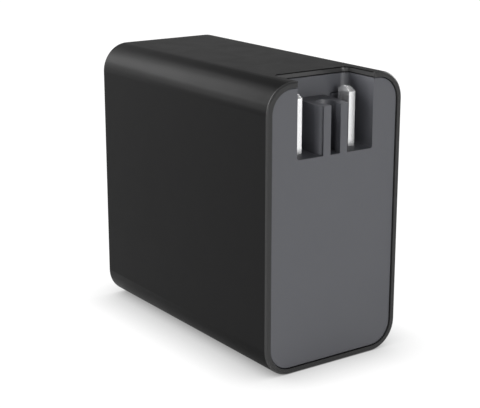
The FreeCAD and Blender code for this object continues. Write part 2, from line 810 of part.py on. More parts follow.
def disc(label, axis, diameter, thickness, bevel, x, y, z):
    """A dipped disc, or a short round can, bevelled at both ends."""
    radius = f"{diameter} / 2"
    return turned(label, axis, [
        line_to("0", "0"),
        line_to(thickness, "0"),
        line_to(thickness, f"{radius} - {bevel}"),
        line_to(f"{thickness} - {bevel}", radius),
        line_to(bevel, radius),
        line_to("0", f"{radius} - {bevel}"),
    ], x, y, z)


def build_choke():
    """The ring choke between thermistor and fuse: its core and the two windings round it."""
    left_x = f"({board_face_x} + thermistor_diameter + 2 * part_gap)"
    right_x = f"({inlet_right_x} - fuse_diameter - part_gap)"
    middle_x = f"(({left_x} + {right_x}) / 2)"
    middle_y = f"(({inlet_rear_y} + {inlet_front_y}) / 2)"
    middle_z = f"({inlet_bottom_z} - choke_wire - choke_height / 2)"
    radius = f"(({right_x} - {left_x}) / 2 - choke_wire)"
    bore = f"({radius} - choke_ring)"
    core = new_body("choke_core")
    winding = new_body("choke_winding")
    winding.AllowCompound = True
    for body in (core, winding):
        place_at(body, middle_x, middle_y, middle_z)
    ring = sketch_on(core, "XZ_Plane")
    rectangle(ring, bore, radius, "-choke_height / 2", "choke_height / 2")
    revolve(core, ring, "V_Axis")
    wrap = sketch_on(winding, "XZ_Plane")
    close = "winding_clearance"
    rectangle(wrap, f"{bore} - {close}", f"{radius} + {close}",
              f"-choke_height / 2 - {close}", f"choke_height / 2 + {close}")
    rectangle(wrap, f"{bore} - choke_wire", f"{radius} + choke_wire",
              "-choke_height / 2 - choke_wire", "choke_height / 2 + choke_wire")
    first = revolve(winding, wrap, "V_Axis", "choke_angle")
    pair = winding.newObject("PartDesign::PolarPattern", "choke_winding_pattern")
    pair.Originals = [first]
    pair.Axis = (wrap, ["V_Axis"])
    pair.Angle = FULL_TURN
    pair.Occurrences = len(SIDES)
    winding.Tip = pair
    return [core, winding]


def build_transformer():
    """The transformer: a core with two windows, the bobbin on its middle leg and the winding."""
    core = new_body("transformer_core")
    frame = sketch_on(core, "YZ_Plane")
    rectangle(frame, f"-{core_width} / 2", f"{core_width} / 2", "-core_height / 2", "core_height / 2")
    for sign in SIDES.values():
        rectangle(frame, f"{sign} * {core_leg} / 2", f"{sign} * ({core_leg} / 2 + core_window)",
                  f"-{window_height} / 2", f"{window_height} / 2")
    pad(core, frame, core_depth, symmetric=True)

    bobbin = new_body("transformer_bobbin")
    flange_y = f"({core_leg} / 2 + core_window - bobbin_clearance)"
    spool = sketch_on(bobbin, "XY_Plane")
    rectangle(spool, f"-{flange_half}", flange_half, f"-{flange_y}", flange_y)
    rectangle(spool, f"-{core_depth} / 2 - bobbin_clearance", f"{core_depth} / 2 + bobbin_clearance",
              f"-{core_leg} / 2 - bobbin_clearance", f"{core_leg} / 2 + bobbin_clearance")
    pad(bobbin, spool, f"{window_height} - 2 * bobbin_clearance", symmetric=True)
    channel = sketch_on(bobbin, "XY_Plane")
    rectangle(channel, f"-{flange_half} - overrun", f"{flange_half} + overrun",
              f"-{flange_y} - overrun", f"{flange_y} + overrun")
    rectangle(channel, f"-{tube_x}", tube_x, f"-{tube_y}", tube_y)
    pocket(bobbin, channel, f"{winding_height} + 2 * winding_clearance", symmetric=True)

    winding = new_body("transformer_winding")
    turns = sketch_on(winding, "XY_Plane")
    rounded_rectangle(turns, f"-{winding_x}", winding_x, f"-{winding_y}", winding_y, "winding_rounding")
    rectangle(turns, f"-{tube_x} - winding_clearance", f"{tube_x} + winding_clearance",
              f"-{tube_y} - winding_clearance", f"{tube_y} + winding_clearance")
    pad(winding, turns, winding_height, symmetric=True)
    for body in (core, bobbin, winding):
        place_at(body, core_x, core_y, core_z)
    return [core, bobbin, winding]


def build_heat_path():
    """The gap-filling pad on the winding and the metal sheet that it warms."""
    gap_pad = block("thermal_pad", (pad_x, spreader_x), spread(core_y, "thermal_pad_width"),
                    spread(core_z, winding_height))
    spreader = new_body("heat_spreader")
    place_at(spreader, x=spreader_x, y=f"{port_board_rear_y} - part_gap", z=core_z)
    face = sketch_on(spreader, "YZ_Plane")
    rounded_rectangle(face, "-spreader_length", "0", "-spreader_height / 2", "spreader_height / 2",
                      "spreader_rounding")
    pad(spreader, face, "spreader_thickness")
    return [gap_pad, spreader]


def build_input_parts():
    """The parts between the blades and the transformer."""
    column_y = f"({column_rear_y} + x_capacitor_width / 2)"
    x_capacitor_z = f"({row_bottom_z} + x_capacitor_length / 2)"
    bridge_z = f"({row_bottom_z} + x_capacitor_length + part_gap + bridge_length / 2)"
    parts = [
        disc("fuse", "Z", "fuse_diameter", "fuse_height", "fuse_bevel",
             f"{inlet_right_x} - fuse_diameter / 2", f"{inlet_front_y} - fuse_diameter / 2",
             f"{inlet_bottom_z} - fuse_height"),
        disc("thermistor", "Z", "thermistor_diameter", "thermistor_thickness", "thermistor_bevel",
             f"{board_face_x} + part_gap + thermistor_diameter / 2",
             f"{inlet_front_y} - thermistor_diameter / 2", f"{inlet_bottom_z} - thermistor_thickness"),
        on_board("x_capacitor", column_y, x_capacitor_z, "x_capacitor_width", "x_capacitor_length",
                 "x_capacitor_height", "x_capacitor_bevel"),
        on_board("bridge_rectifier", column_y, bridge_z, "bridge_width", "bridge_length",
                 "bridge_height", "bridge_bevel"),
    ]
    for step, name in enumerate(LEVELS):
        height = f"{row_bottom_z} + bulk_diameter / 2 + {step} * (bulk_diameter + part_gap)"
        parts.append(capacitor(f"bulk_capacitor_{name}", "bulk_diameter", "bulk_height", "bulk_bevel",
                               bulk_y, height))
    return parts + build_choke()


def build_switching_parts():
    """The chips and small parts above the capacitors and the transformer."""
    switch_z = f"({bulk_top_z} + part_gap + switch_size / 2)"
    second_y = f"({bulk_y} + y_capacitor_diameter / 2 + part_gap + optocoupler_width / 2)"
    third_y = f"({second_y} + optocoupler_width / 2 + part_gap + control_size / 2)"
    fourth_y = f"({third_y} + control_size / 2 + part_gap + switch_size / 2)"
    return [
        on_board("power_switch", bulk_y, switch_z, "switch_size", "switch_size", "switch_height",
                 "chip_bevel"),
        disc("y_capacitor", "X", "y_capacitor_diameter", "y_capacitor_thickness", "y_capacitor_bevel",
             board_face_x, bulk_y, row_two_z),
        on_board("optocoupler", second_y, row_two_z, "optocoupler_width", "optocoupler_length",
                 "optocoupler_height", "chip_bevel"),
        on_board("control_chip", third_y, row_two_z, "control_size", "control_size", "control_height",
                 "chip_bevel"),
        on_board("rectifier_switch", fourth_y, row_two_z, "switch_size", "switch_size", "switch_height",
                 "chip_bevel"),
    ]


def build_output_parts():
    """A capacitor and an inductor for each receptacle, below and above the transformer."""
    parts = []
    for name, level in LEVELS.items():
        middle_y = f"({core_y} + {level} * ({output_size} + part_gap))"
        parts.append(capacitor(f"output_capacitor_{name}", output_size, "output_height", "output_bevel",
                               middle_y, f"{row_bottom_z} + {output_size} / 2"))
        parts.append(on_board(f"output_inductor_{name}", middle_y, row_one_z, output_size, output_size,
                              "inductor_height", "inductor_bevel"))
    return parts


def check(parts):
    """Stop if any object failed, a cut took nothing away, or a part has no sound solid."""
    document.recompute()
    for thing in document.Objects:
        if {"Invalid", "Error"} & set(thing.State):
            raise RuntimeError(f"{thing.Label} failed: {thing.State}")
        if thing.TypeId == "PartDesign::Pocket" and thing.Shape.Volume >= thing.BaseFeature.Shape.Volume:
            raise RuntimeError(f"{thing.Label} takes nothing away")
    for part in parts:
        if part.Shape.isNull() or not part.Shape.isValid() or not part.Shape.Solids:
            raise RuntimeError(f"{part.Label} has no sound solid")


def main():
    """Build every part, check it and write it to its own file."""
    parts = [build_sleeve(), build_rear_cap(), build_front_cap()]
    parts += [build_blade(name, side) for name, side in SIDES.items()]
    for name, level in LEVELS.items():
        parts += build_port(name, level)
    parts += build_boards()
    parts += build_transformer()
    parts += build_heat_path()
    parts += build_input_parts()
    parts += build_switching_parts()
    parts += build_output_parts()
    check(parts)
    os.makedirs("parts", exist_ok=True)
    for part in parts:
        part.Shape.exportStep(f"parts/{part.Label}.step")
        print(f"{part.Label}: {len(part.Shape.Solids)} solid(s), {part.Shape.Volume:.2f} mm3")


main()
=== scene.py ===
"""Looks of a USB-C wall charger, dressed over its CAD frame.

Everything is in metres in the charger's own frame: +Z is up, the rear end with the plug dock faces -Y
and the end with the USB-C receptacles faces +Y.
"""

import logging
import math
from collections.abc import Iterable
from dataclasses import dataclass, field
from enum import Enum
from typing import ClassVar

import bmesh
import bpy
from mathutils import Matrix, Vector


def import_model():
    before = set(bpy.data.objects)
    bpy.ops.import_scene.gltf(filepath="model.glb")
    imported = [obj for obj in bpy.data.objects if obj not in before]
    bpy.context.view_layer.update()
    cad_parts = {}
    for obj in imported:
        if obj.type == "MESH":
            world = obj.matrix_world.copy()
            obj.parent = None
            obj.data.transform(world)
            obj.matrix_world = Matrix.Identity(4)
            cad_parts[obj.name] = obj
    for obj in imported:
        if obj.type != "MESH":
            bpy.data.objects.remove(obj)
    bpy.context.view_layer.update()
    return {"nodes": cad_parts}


Colour = tuple[float, float, float]
Point = tuple[float, float, float]

MM = 0.001
log = logging.getLogger("charger")


class Run(Enum):
    """The axis that drawn, brushed or wound lines follow."""

    X = 0
    Y = 1
    Z = 2


class Level(Enum):
    """The three receptacles, and the parts that serve each of them."""

    LOWER = "lower"
    MIDDLE = "middle"
    UPPER = "upper"


class Wiring:
    """A node tree being wired, with short methods for what every finish needs."""

    def __init__(self, tree: bpy.types.NodeTree) -> None:
        """Empty the tree and keep it to be wired."""
        self.tree = tree
        tree.nodes.clear()

    def add(self, kind: str, values: dict[str | int, object] | None = None,
            **settings: object) -> bpy.types.Node:
        """Add one node.

        Args:
            kind: The node's type name.
            values: Plain values for its input sockets, by name or place.
            settings: The node's own properties.

        Returns:
            The new node.
        """
        node = self.tree.nodes.new(kind)
        for name, setting in settings.items():
            setattr(node, name, setting)
        for socket, value in (values or {}).items():
            node.inputs[socket].default_value = value
        return node

    def join(self, source: bpy.types.NodeSocket, target: bpy.types.NodeSocket) -> None:
        """Link one output to one input."""
        self.tree.links.new(source, target)

    def math(self, operation: str, first: object, second: object) -> bpy.types.NodeSocket:
        """Combine two values.

        Args:
            operation: The Math node's operation.
            first: A socket or a number.
            second: A socket or a number.

        Returns:
            The result's socket.
        """
        node = self.add("ShaderNodeMath", operation=operation)
        for place, value in enumerate((first, second)):
            if isinstance(value, bpy.types.NodeSocket):
                self.join(value, node.inputs[place])
            else:
                node.inputs[place].default_value = value
        return node.outputs[0]

    def spread(self, source: bpy.types.NodeSocket, low: float, high: float) -> bpy.types.NodeSocket:
        """Stretch a mask from 0 to 1 over another range.

        Args:
            source: The mask.
            low: The value where the mask is 0.
            high: The value where it is 1.

        Returns:
            The stretched value's socket.
        """
        node = self.add("ShaderNodeMapRange", {"To Min": low, "To Max": high})
        self.join(source, node.inputs["Value"])
        return node.outputs["Result"]

    def ramp(self, source: bpy.types.NodeSocket, span: tuple[float, float],
             levels: tuple[float, float]) -> bpy.types.NodeSocket:
        """Turn a value into another by a soft step.

        Args:
            source: The value.
            span: Where the step starts and ends.
            levels: What the value becomes before and after the step.

        Returns:
            The stepped value's socket.
        """
        node = self.add("ShaderNodeMapRange", {
            "From Min": span[0], "From Max": span[1], "To Min": levels[0], "To Max": levels[1],
        }, interpolation_type="SMOOTHSTEP")
        self.join(source, node.inputs["Value"])
        return node.outputs["Result"]

    def blend(self, mask: bpy.types.NodeSocket, first: object, second: object) -> bpy.types.NodeSocket:
        """Mix two colours by a mask.

        Args:
            mask: 0 gives the first colour and 1 the second.
            first: A colour or a colour socket.
            second: A colour or a colour socket.

        Returns:
            The mixed colour's socket.
        """
        node = self.add("ShaderNodeMix", data_type="RGBA")
        self.join(mask, node.inputs["Factor"])
        for name, value in (("A", first), ("B", second)):
            socket = next(s for s in node.inputs if s.name == name and s.type == "RGBA")
            if isinstance(value, bpy.types.NodeSocket):
                self.join(value, socket)
            else:
                socket.default_value = (*value, 1.0)
        return next(s for s in node.outputs if s.type == "RGBA")

    def bump(self, height: bpy.types.NodeSocket, strength: float, depth: float) -> bpy.types.NodeSocket:
        """Turn a height into a normal.

        Args:
            height: The height, from 0 to 1.
            strength: How much of it shows.
            depth: What a height of 1 stands for, in metres.

        Returns:
            The normal's socket.
        """
        node = self.add("ShaderNodeBump", {"Strength": strength, "Distance": depth})
        self.join(height, node.inputs["Height"])
        return node.outputs["Normal"]

    def looks(self) -> tuple[bpy.types.NodeSocket, bpy.types.NodeSocket]:
        """Tell the rays that show the background from those that light the object.

        Returns:
            What is 1 for a ray from the camera or through glass, and what is 1 for a ray from a gloss.
        """
        path = self.add("ShaderNodeLightPath").outputs
        direct = self.math("MAXIMUM", path["Is Camera Ray"], path["Is Transmission Ray"])
        return direct, path["Is Glossy Ray"]


class Effect:
    """A shader node group with named sockets, built once and placed in many materials."""

    name: str = ""
    takes: dict[str, float | Point] = {}
    gives: tuple[str, ...] = ()

    def draw(self, wiring: Wiring, given: bpy.types.Node, result: bpy.types.Node) -> None:
        """Wire the effect between its inputs and outputs.

        Args:
            wiring: The group's tree.
            given: The node with the group's inputs.
            result: The node with the group's outputs.
        """
        raise NotImplementedError

    def tree(self) -> bpy.types.NodeTree:
        """Find the group, or build it the first time.

        Returns:
            The group's node tree.
        """
        known = bpy.data.node_groups.get(self.name)
        if known:
            return known
        tree = bpy.data.node_groups.new(self.name, "ShaderNodeTree")
        for name, value in self.takes.items():
            kind = "NodeSocketVector" if isinstance(value, tuple) else "NodeSocketFloat"
            socket = tree.interface.new_socket(name, in_out="INPUT", socket_type=kind)
            socket.default_value = value
        for name in self.gives:
            tree.interface.new_socket(name, in_out="OUTPUT", socket_type="NodeSocketFloat")
        wiring = Wiring(tree)
        given = wiring.add("NodeGroupInput")
        result = wiring.add("NodeGroupOutput")
        self.draw(wiring, given, result)
        return tree

    def place(self, wiring: Wiring, **values: float | Point) -> bpy.types.Node:
        """Put the group into a material.

        Args:
            wiring: The material's tree.
            values: Its inputs' values, with spaces in their names written as underscores.

        Returns:
            The group node.
        """
        node = wiring.add("ShaderNodeGroup", node_tree=self.tree())
        for name, value in values.items():
            node.inputs[name.replace("_", " ")].default_value = value
        return node


class MouldGrain(Effect):
    """The fine spark-eroded grain of a moulded wall, with slow drifts of tone and gloss."""

    name = "mould_grain"
    takes = {"grain scale": 6000.0, "drift scale": 45.0}
    gives = ("height", "tone", "gloss")
    smear_ratio = 3.1
    grain_share = 0.35

    def draw(self, wiring: Wiring, given: bpy.types.Node, result: bpy.types.Node) -> None:
        """Wire a fine noise for the grain and two slow ones for the drifts.

        Args:
            wiring: The group's tree.
            given: The node with the group's inputs.
            result: The node with the group's outputs.
        """
        place = wiring.add("ShaderNodeTexCoord").outputs["Object"]
        grain = wiring.add("ShaderNodeTexNoise", {"Detail": 3.0, "Roughness": 0.6})
        drift = wiring.add("ShaderNodeTexNoise", {"Detail": 2.0, "Roughness": 0.5})
        smear = wiring.add("ShaderNodeTexNoise", {"Detail": 4.0, "Roughness": 0.62, "Distortion": 0.6})
        for node in (grain, drift, smear):
            wiring.join(place, node.inputs["Vector"])
        wiring.join(given.outputs["grain scale"], grain.inputs["Scale"])
        wiring.join(given.outputs["drift scale"], drift.inputs["Scale"])
        smear_scale = wiring.math("MULTIPLY", given.outputs["drift scale"], self.smear_ratio)
        wiring.join(smear_scale, smear.inputs["Scale"])
        speck = wiring.math("MULTIPLY", grain.outputs["Fac"], self.grain_share)
        slow = wiring.math("MULTIPLY", drift.outputs["Fac"], 1.0 - self.grain_share)
        wiring.join(grain.outputs["Fac"], result.inputs["height"])
        wiring.join(wiring.math("ADD", speck, slow), result.inputs["tone"])
        wiring.join(smear.outputs["Fac"], result.inputs["gloss"])

    def sized(self, wiring: Wiring, grain: float, drift: float) -> bpy.types.Node:
        """Put the group into a material, given the sizes of its grain and its drifts."""
        return self.place(wiring, grain_scale=1 / grain, drift_scale=1 / drift)


class DrawnLines(Effect):
    """The fine parallel lines that rolling, drawing or brushing leaves in metal."""

    name = "drawn_lines"
    takes = {"stretch": (1000.0, 1000.0, 1000.0)}
    gives = ("height", "tone")

    def draw(self, wiring: Wiring, given: bpy.types.Node, result: bpy.types.Node) -> None:
        """Wire a noise that is pulled out along the lines.

        Args:
            wiring: The group's tree.
            given: The node with the group's inputs.
            result: The node with the group's outputs.
        """
        place = wiring.add("ShaderNodeTexCoord").outputs["Object"]
        pull = wiring.add("ShaderNodeVectorMath", operation="MULTIPLY")
        wiring.join(place, pull.inputs[0])
        wiring.join(given.outputs["stretch"], pull.inputs[1])
        fine = wiring.add("ShaderNodeTexNoise", {"Scale": 1.0, "Detail": 4.0, "Roughness": 0.65})
        broad = wiring.add("ShaderNodeTexNoise", {"Scale": 0.13, "Detail": 2.0, "Roughness": 0.5})
        for node in (fine, broad):
            wiring.join(pull.outputs["Vector"], node.inputs["Vector"])
        wiring.join(fine.outputs["Fac"], result.inputs["height"])
        wiring.join(broad.outputs["Fac"], result.inputs["tone"])


class WoundTurns(Effect):
    """The ridges of wire laid turn beside turn."""

    name = "wound_turns"
    takes = {"turn scale": 1000.0, "direction": (0.0, 0.0, 1.0)}
    gives = ("height", "tone")
    half_turn = 0.5

    def draw(self, wiring: Wiring, given: bpy.types.Node, result: bpy.types.Node) -> None:
        """Wire round ridges along one direction, each turn with its own tone.

        Args:
            wiring: The group's tree.
            given: The node with the group's inputs.
            result: The node with the group's outputs.
        """
        place = wiring.add("ShaderNodeTexCoord").outputs["Object"]
        along = wiring.add("ShaderNodeVectorMath", operation="DOT_PRODUCT")
        wiring.join(place, along.inputs[0])
        wiring.join(given.outputs["direction"], along.inputs[1])
        turn = wiring.math("MULTIPLY", along.outputs["Value"], given.outputs["turn scale"])
        ridge = wiring.math("PINGPONG", turn, self.half_turn)
        wiring.join(wiring.math("SQRT", ridge, 0.0), result.inputs["height"])
        own_tone = wiring.add("ShaderNodeTexWhiteNoise", noise_dimensions="1D")
        wiring.join(wiring.math("FLOOR", turn, 0.0), own_tone.inputs["W"])
        wiring.join(own_tone.outputs["Value"], result.inputs["tone"])


def shade(colour: Colour, share: float) -> Colour:
    """Lighten or darken a colour.

    Args:
        colour: The linear colour.
        share: 0.1 lightens it by a tenth, and -0.1 darkens it.

    Returns:
        The new colour.
    """
    return tuple(min(part * (1.0 + share), 1.0) for part in colour)


@dataclass(frozen=True)
class Finish:
    """What every finish holds: its name, its colour and how it takes the light."""

    name: str
    colour: Colour
    roughness: float
    tone: float = 0.08
    gloss: float = 0.06
    specular: float = 0.5

    def begin(self, metallic: float = 0.0) -> tuple[bpy.types.Material, Wiring, bpy.types.Node]:
        """Make the material with its surface shader.

        Args:
            metallic: 1 for bare metal, a little less for dull plating, 0 for the rest.

        Returns:
            The material, its tree and the surface shader.
        """
        material = bpy.data.materials.new(self.name)
        material.use_nodes = True
        material.diffuse_color = (*self.colour, 1.0)
        wiring = Wiring(material.node_tree)
        shader = wiring.add("ShaderNodeBsdfPrincipled", {
            "Metallic": metallic,
            "Specular IOR Level": self.specular,
        })
        output = wiring.add("ShaderNodeOutputMaterial")
        wiring.join(shader.outputs["BSDF"], output.inputs["Surface"])
        return material, wiring, shader

    def tinted(self, wiring: Wiring, mask: bpy.types.NodeSocket) -> bpy.types.NodeSocket:
        """Let a mask vary the colour a little about its plain value.

        Args:
            wiring: The material's tree.
            mask: The mask, 0.5 on average.

        Returns:
            The varied colour's socket.
        """
        return wiring.blend(mask, shade(self.colour, -self.tone), shade(self.colour, self.tone))

    def polish(self, wiring: Wiring, shader: bpy.types.Node, mask: bpy.types.NodeSocket) -> None:
        """Let a mask vary the roughness about its plain value.

        Args:
            wiring: The material's tree.
            shader: Its surface shader.
            mask: The mask, 0.5 on average.
        """
        rough = wiring.spread(mask, self.roughness - self.gloss, self.roughness + self.gloss)
        wiring.join(rough, shader.inputs["Roughness"])

    def material(self) -> bpy.types.Material:
        """Build the material."""
        raise NotImplementedError


@dataclass(frozen=True)
class MouldedPlastic(Finish):
    """Moulded plastic with a fine grain."""

    grain_size: float = 0.16 * MM
    grain_depth: float = 0.012 * MM
    grain_show: float = 0.35
    drift_size: float = 22 * MM

    def material(self) -> bpy.types.Material:
        """Build the material.

        Returns:
            The finished material.
        """
        material, wiring, shader = self.begin()
        grain = MouldGrain().sized(wiring, self.grain_size, self.drift_size)
        grained = self.tinted(wiring, grain.outputs["tone"])
        wiring.join(self.smoothed_with_painted_light(wiring, shader, grained), shader.inputs["Base Color"])
        self.polish(wiring, shader, grain.outputs["gloss"])
        normal = wiring.bump(grain.outputs["height"], self.grain_show, self.grain_depth)
        wiring.join(normal, shader.inputs["Normal"])
        return material

    def smoothed_with_painted_light(self, wiring: Wiring, shader: bpy.types.Node,
                 grained: bpy.types.NodeSocket) -> bpy.types.NodeSocket:
        """Leave the grained colour as it is, since no part is moulded smooth or has painted light."""
        return grained


@dataclass(frozen=True)
class SleevePlastic(MouldedPlastic):
    """The sleeve's grained plastic, moulded smooth on its rims and round its notch, with painted light:
    its rims and the notch's band are painted lighter, and painted shadow lines run along the notch's
    top and bottom edges.
    """

    rim_start: float = 29.55 * MM
    rim_full: float = 29.68 * MM
    face_start: float = 29.95 * MM
    face_full: float = 29.99 * MM
    notch_half: float = 9.05 * MM
    notch_back: float = -21.65 * MM
    # the notch's band lies between notch_low and notch_high; above and below it the notch wall carries
    # painted shadow lines
    notch_low: float = 55.57 * MM
    notch_high: float = 56.24 * MM
    notch_floor: float = 50 * MM
    # how soft the edges between the notch's band and its painted shadow lines are
    line_width: float = 0.06 * MM
    # painted light: the rims and the notch's band are painted lighter than the grained black
    painted_light_colour: Colour = (0.031, 0.031, 0.0313)
    # painted shadow: the dark lines along the notch's top and bottom edges
    painted_shadow_line_colour: Colour = (0.006, 0.006, 0.006)
    bevel_gloss: float = 0.5
    rim_gloss: float = 0.3
    smooth_roughness: float = 0.3

    def smoothed_with_painted_light(self, wiring: Wiring, shader: bpy.types.Node,
                 grained: bpy.types.NodeSocket) -> bpy.types.NodeSocket:
        """Paint the smooth rims and the notch's band lighter as painted light, paint shadow lines along
        the notch's top and bottom edges, and give the rims and the band their gloss.

        Args:
            wiring: The material's tree.
            shader: Its surface shader.
            grained: The colour of the grained walls.

        Returns:
            The whole colour's socket.
        """
        parts = wiring.add("ShaderNodeSeparateXYZ")
        wiring.join(wiring.add("ShaderNodeTexCoord").outputs["Object"], parts.inputs["Vector"])
        along = wiring.math("ABSOLUTE", parts.outputs["Y"], 0.0)
        rim = wiring.ramp(along, (self.rim_start, self.rim_full), (0.0, 1.0))
        across = wiring.math("ABSOLUTE", parts.outputs["X"], 0.0)
        inside = wiring.math("LESS_THAN", across, self.notch_half)
        behind = wiring.math("LESS_THAN", parts.outputs["Y"], self.notch_back)
        up = parts.outputs["Z"]
        upper = wiring.math("GREATER_THAN", up, self.notch_floor)
        notch = wiring.math("MULTIPLY", wiring.math("MULTIPLY", inside, behind), upper)
        above = wiring.ramp(up, (self.notch_low - self.line_width, self.notch_low), (0.0, 1.0))
        below = wiring.ramp(up, (self.notch_high, self.notch_high + self.line_width), (1.0, 0.0))
        band = wiring.math("MULTIPLY", wiring.math("MULTIPLY", above, below), notch)
        # painted shadow: the notch's wall is painted dark, leaving dark shadow lines at its top and
        # bottom edges outside the band
        painted_shadow_lines = wiring.blend(notch, grained, self.painted_shadow_line_colour)
        # the smooth rims and band, which get the painted light colour
        smooth_and_painted_light = wiring.math("MAXIMUM", rim, band)
        face = wiring.ramp(along, (self.face_start, self.face_full), (self.bevel_gloss, self.rim_gloss))
        gloss = wiring.math("MAXIMUM", wiring.math("MULTIPLY", rim, face), band)
        wiring.join(gloss, shader.inputs["Coat Weight"])
        shader.inputs["Coat Roughness"].default_value = self.smooth_roughness
        # painted light: the rims and the notch's band are painted lighter
        return wiring.blend(smooth_and_painted_light, painted_shadow_lines, self.painted_light_colour)


@dataclass(frozen=True)
class DrawnMetal(Finish):
    """Bare or plated metal with the lines of its rolling or drawing."""

    run: Run = Run.Z
    metallic: float = 1.0
    line_width: float = 0.05 * MM
    line_length: float = 4 * MM
    line_depth: float = 0.002 * MM
    line_show: float = 0.3

    def material(self) -> bpy.types.Material:
        """Build the material.

        Returns:
            The finished material.
        """
        material, wiring, shader = self.begin(self.metallic)
        stretch = [1 / self.line_width] * 3
        stretch[self.run.value] = 1 / self.line_length
        lines = DrawnLines().place(wiring, stretch=tuple(stretch))
        wiring.join(self.tinted(wiring, lines.outputs["tone"]), shader.inputs["Base Color"])
        self.polish(wiring, shader, lines.outputs["height"])
        normal = wiring.bump(lines.outputs["height"], self.line_show, self.line_depth)
        wiring.join(normal, shader.inputs["Normal"])
        return material


@dataclass(frozen=True)
class WoundWire(Finish):
    """Enamelled wire or tape wound in even turns."""

    run: Run = Run.Z
    turn_width: float = 0.35 * MM
    turn_show: float = 0.8

    def material(self) -> bpy.types.Material:
        """Build the material.

        Returns:
            The finished material.
        """
        material, wiring, shader = self.begin(metallic=1.0)
        direction = tuple(1.0 if axis is self.run else 0.0 for axis in Run)
        turns = WoundTurns().place(wiring, turn_scale=1 / self.turn_width, direction=direction)
        wiring.join(self.tinted(wiring, turns.outputs["tone"]), shader.inputs["Base Color"])
        self.polish(wiring, shader, turns.outputs["tone"])
        normal = wiring.bump(turns.outputs["height"], self.turn_show, self.turn_width / 2)
        wiring.join(normal, shader.inputs["Normal"])
        return material


@dataclass(frozen=True)
class SolderMask(Finish):
    """A circuit board's lacquer over its copper tracks."""

    track_colour: Colour = (0.035, 0.16, 0.06)
    track_pitch: float = 2.4 * MM
    track_wander: float = 0.55
    track_share: float = 0.09
    track_height: float = 0.03 * MM
    track_show: float = 0.4
    grain_size: float = 0.1 * MM
    drift_size: float = 9 * MM

    def material(self) -> bpy.types.Material:
        """Build the material.

        Returns:
            The finished material.
        """
        material, wiring, shader = self.begin()
        grain = MouldGrain().sized(wiring, self.grain_size, self.drift_size)
        place = wiring.add("ShaderNodeTexCoord").outputs["Object"]
        tracks = wiring.add("ShaderNodeTexVoronoi", {
            "Scale": 1 / self.track_pitch, "Randomness": self.track_wander,
        }, feature="DISTANCE_TO_EDGE", distance="MANHATTAN")
        wiring.join(place, tracks.inputs["Vector"])
        mask = wiring.math("LESS_THAN", tracks.outputs["Distance"], self.track_share)
        ground = self.tinted(wiring, grain.outputs["tone"])
        wiring.join(wiring.blend(mask, ground, self.track_colour), shader.inputs["Base Color"])
        self.polish(wiring, shader, grain.outputs["gloss"])
        normal = wiring.bump(mask, self.track_show, self.track_height)
        wiring.join(normal, shader.inputs["Normal"])
        return material


FINISHES: dict[str, Finish] = {finish.name: finish for finish in (
    SleevePlastic("sleeve_black", (0.0055, 0.0055, 0.0056), 0.43, specular=0.036),
    MouldedPlastic("cap_grey", (0.0560, 0.0575, 0.0665), 0.50, tone=0.04, specular=0.65),
    DrawnMetal("contact_nickel", (0.95, 0.953, 0.957), 0.26, tone=0.03, gloss=0.03,
               metallic=0.8, line_depth=0.0005 * MM),
    DrawnMetal("port_steel", (0.58, 0.58, 0.57), 0.28, tone=0.07, run=Run.Y),
    MouldedPlastic("port_black", (0.010, 0.010, 0.011), 0.42, grain_size=0.08 * MM),
    DrawnMetal("port_gold", (0.83, 0.58, 0.24), 0.22, tone=0.05, run=Run.Y, line_width=0.02 * MM),
    SolderMask("board_green", (0.012, 0.075, 0.03), 0.36),
    MouldedPlastic("link_black", (0.014, 0.014, 0.015), 0.48),
    MouldedPlastic("sheet_white", (0.72, 0.72, 0.69), 0.5, tone=0.03, grain_size=0.3 * MM),
    MouldedPlastic("ferrite", (0.055, 0.053, 0.052), 0.55, tone=0.15, grain_size=0.2 * MM),
    WoundWire("winding_copper", (0.62, 0.26, 0.10), 0.3, tone=0.12),
    DrawnMetal("can_aluminium", (0.68, 0.69, 0.70), 0.34, tone=0.06, run=Run.X),
    MouldedPlastic("dipped_blue", (0.03, 0.13, 0.36), 0.3, grain_size=0.6 * MM),
    MouldedPlastic("film_yellow", (0.68, 0.43, 0.06), 0.36, grain_size=0.4 * MM),
    MouldedPlastic("fuse_brown", (0.13, 0.06, 0.03), 0.4, grain_size=0.3 * MM),
    MouldedPlastic("pad_grey", (0.33, 0.35, 0.40), 0.75, grain_size=0.35 * MM),
    DrawnMetal("spreader_aluminium", (0.72, 0.73, 0.74), 0.32, run=Run.Y),
)}


@dataclass
class SubAssembly:
    """Some nodes of the frame that are dressed together."""

    weld_reach: ClassVar[float] = 0.001 * MM
    edge_segments: ClassVar[int] = 3
    edge_profile: ClassVar[float] = 0.5

    nodes: dict[str, bpy.types.Object]

    def names(self) -> Iterable[str]:
        """The names of the nodes that belong here."""
        raise NotImplementedError

    def dress(self) -> None:
        """Give each node its finish and report it."""
        for name in self.names():
            self.paint(name)

    def paint(self, name: str) -> bpy.types.Object:
        """Put the finish of its slot on one node.

        Args:
            name: The node's name.

        Returns:
            The node's object.
        """
        piece = self.nodes[name]
        slot = piece.material_slots[0]
        kind = slot.material.name.split(".")[0]
        finished = bpy.data.materials.get(f"{kind}_finish")
        if finished is None:
            finished = FINISHES[kind].material()
            finished.name = f"{kind}_finish"
        slot.material = finished
        log.info("%s: %s", name, kind)
        return piece

    def soften(self, piece: bpy.types.Object, radius: float, angle: float) -> None:
        """Round a node's sharp edges, as its mould or die leaves them.

        Args:
            piece: The node's object.
            radius: The rounding's radius.
            angle: The least turn of an edge that is rounded, in degrees.
        """
        weld = piece.modifiers.new("weld", "WELD")
        weld.merge_threshold = self.weld_reach
        bevel = piece.modifiers.new("edge_round", "BEVEL")
        bevel.width = radius
        bevel.segments = self.edge_segments
        bevel.profile = self.edge_profile
        bevel.limit_method = "ANGLE"
        bevel.angle_limit = math.radians(angle)
        bevel.use_clamp_overlap = True
        bevel.harden_normals = True


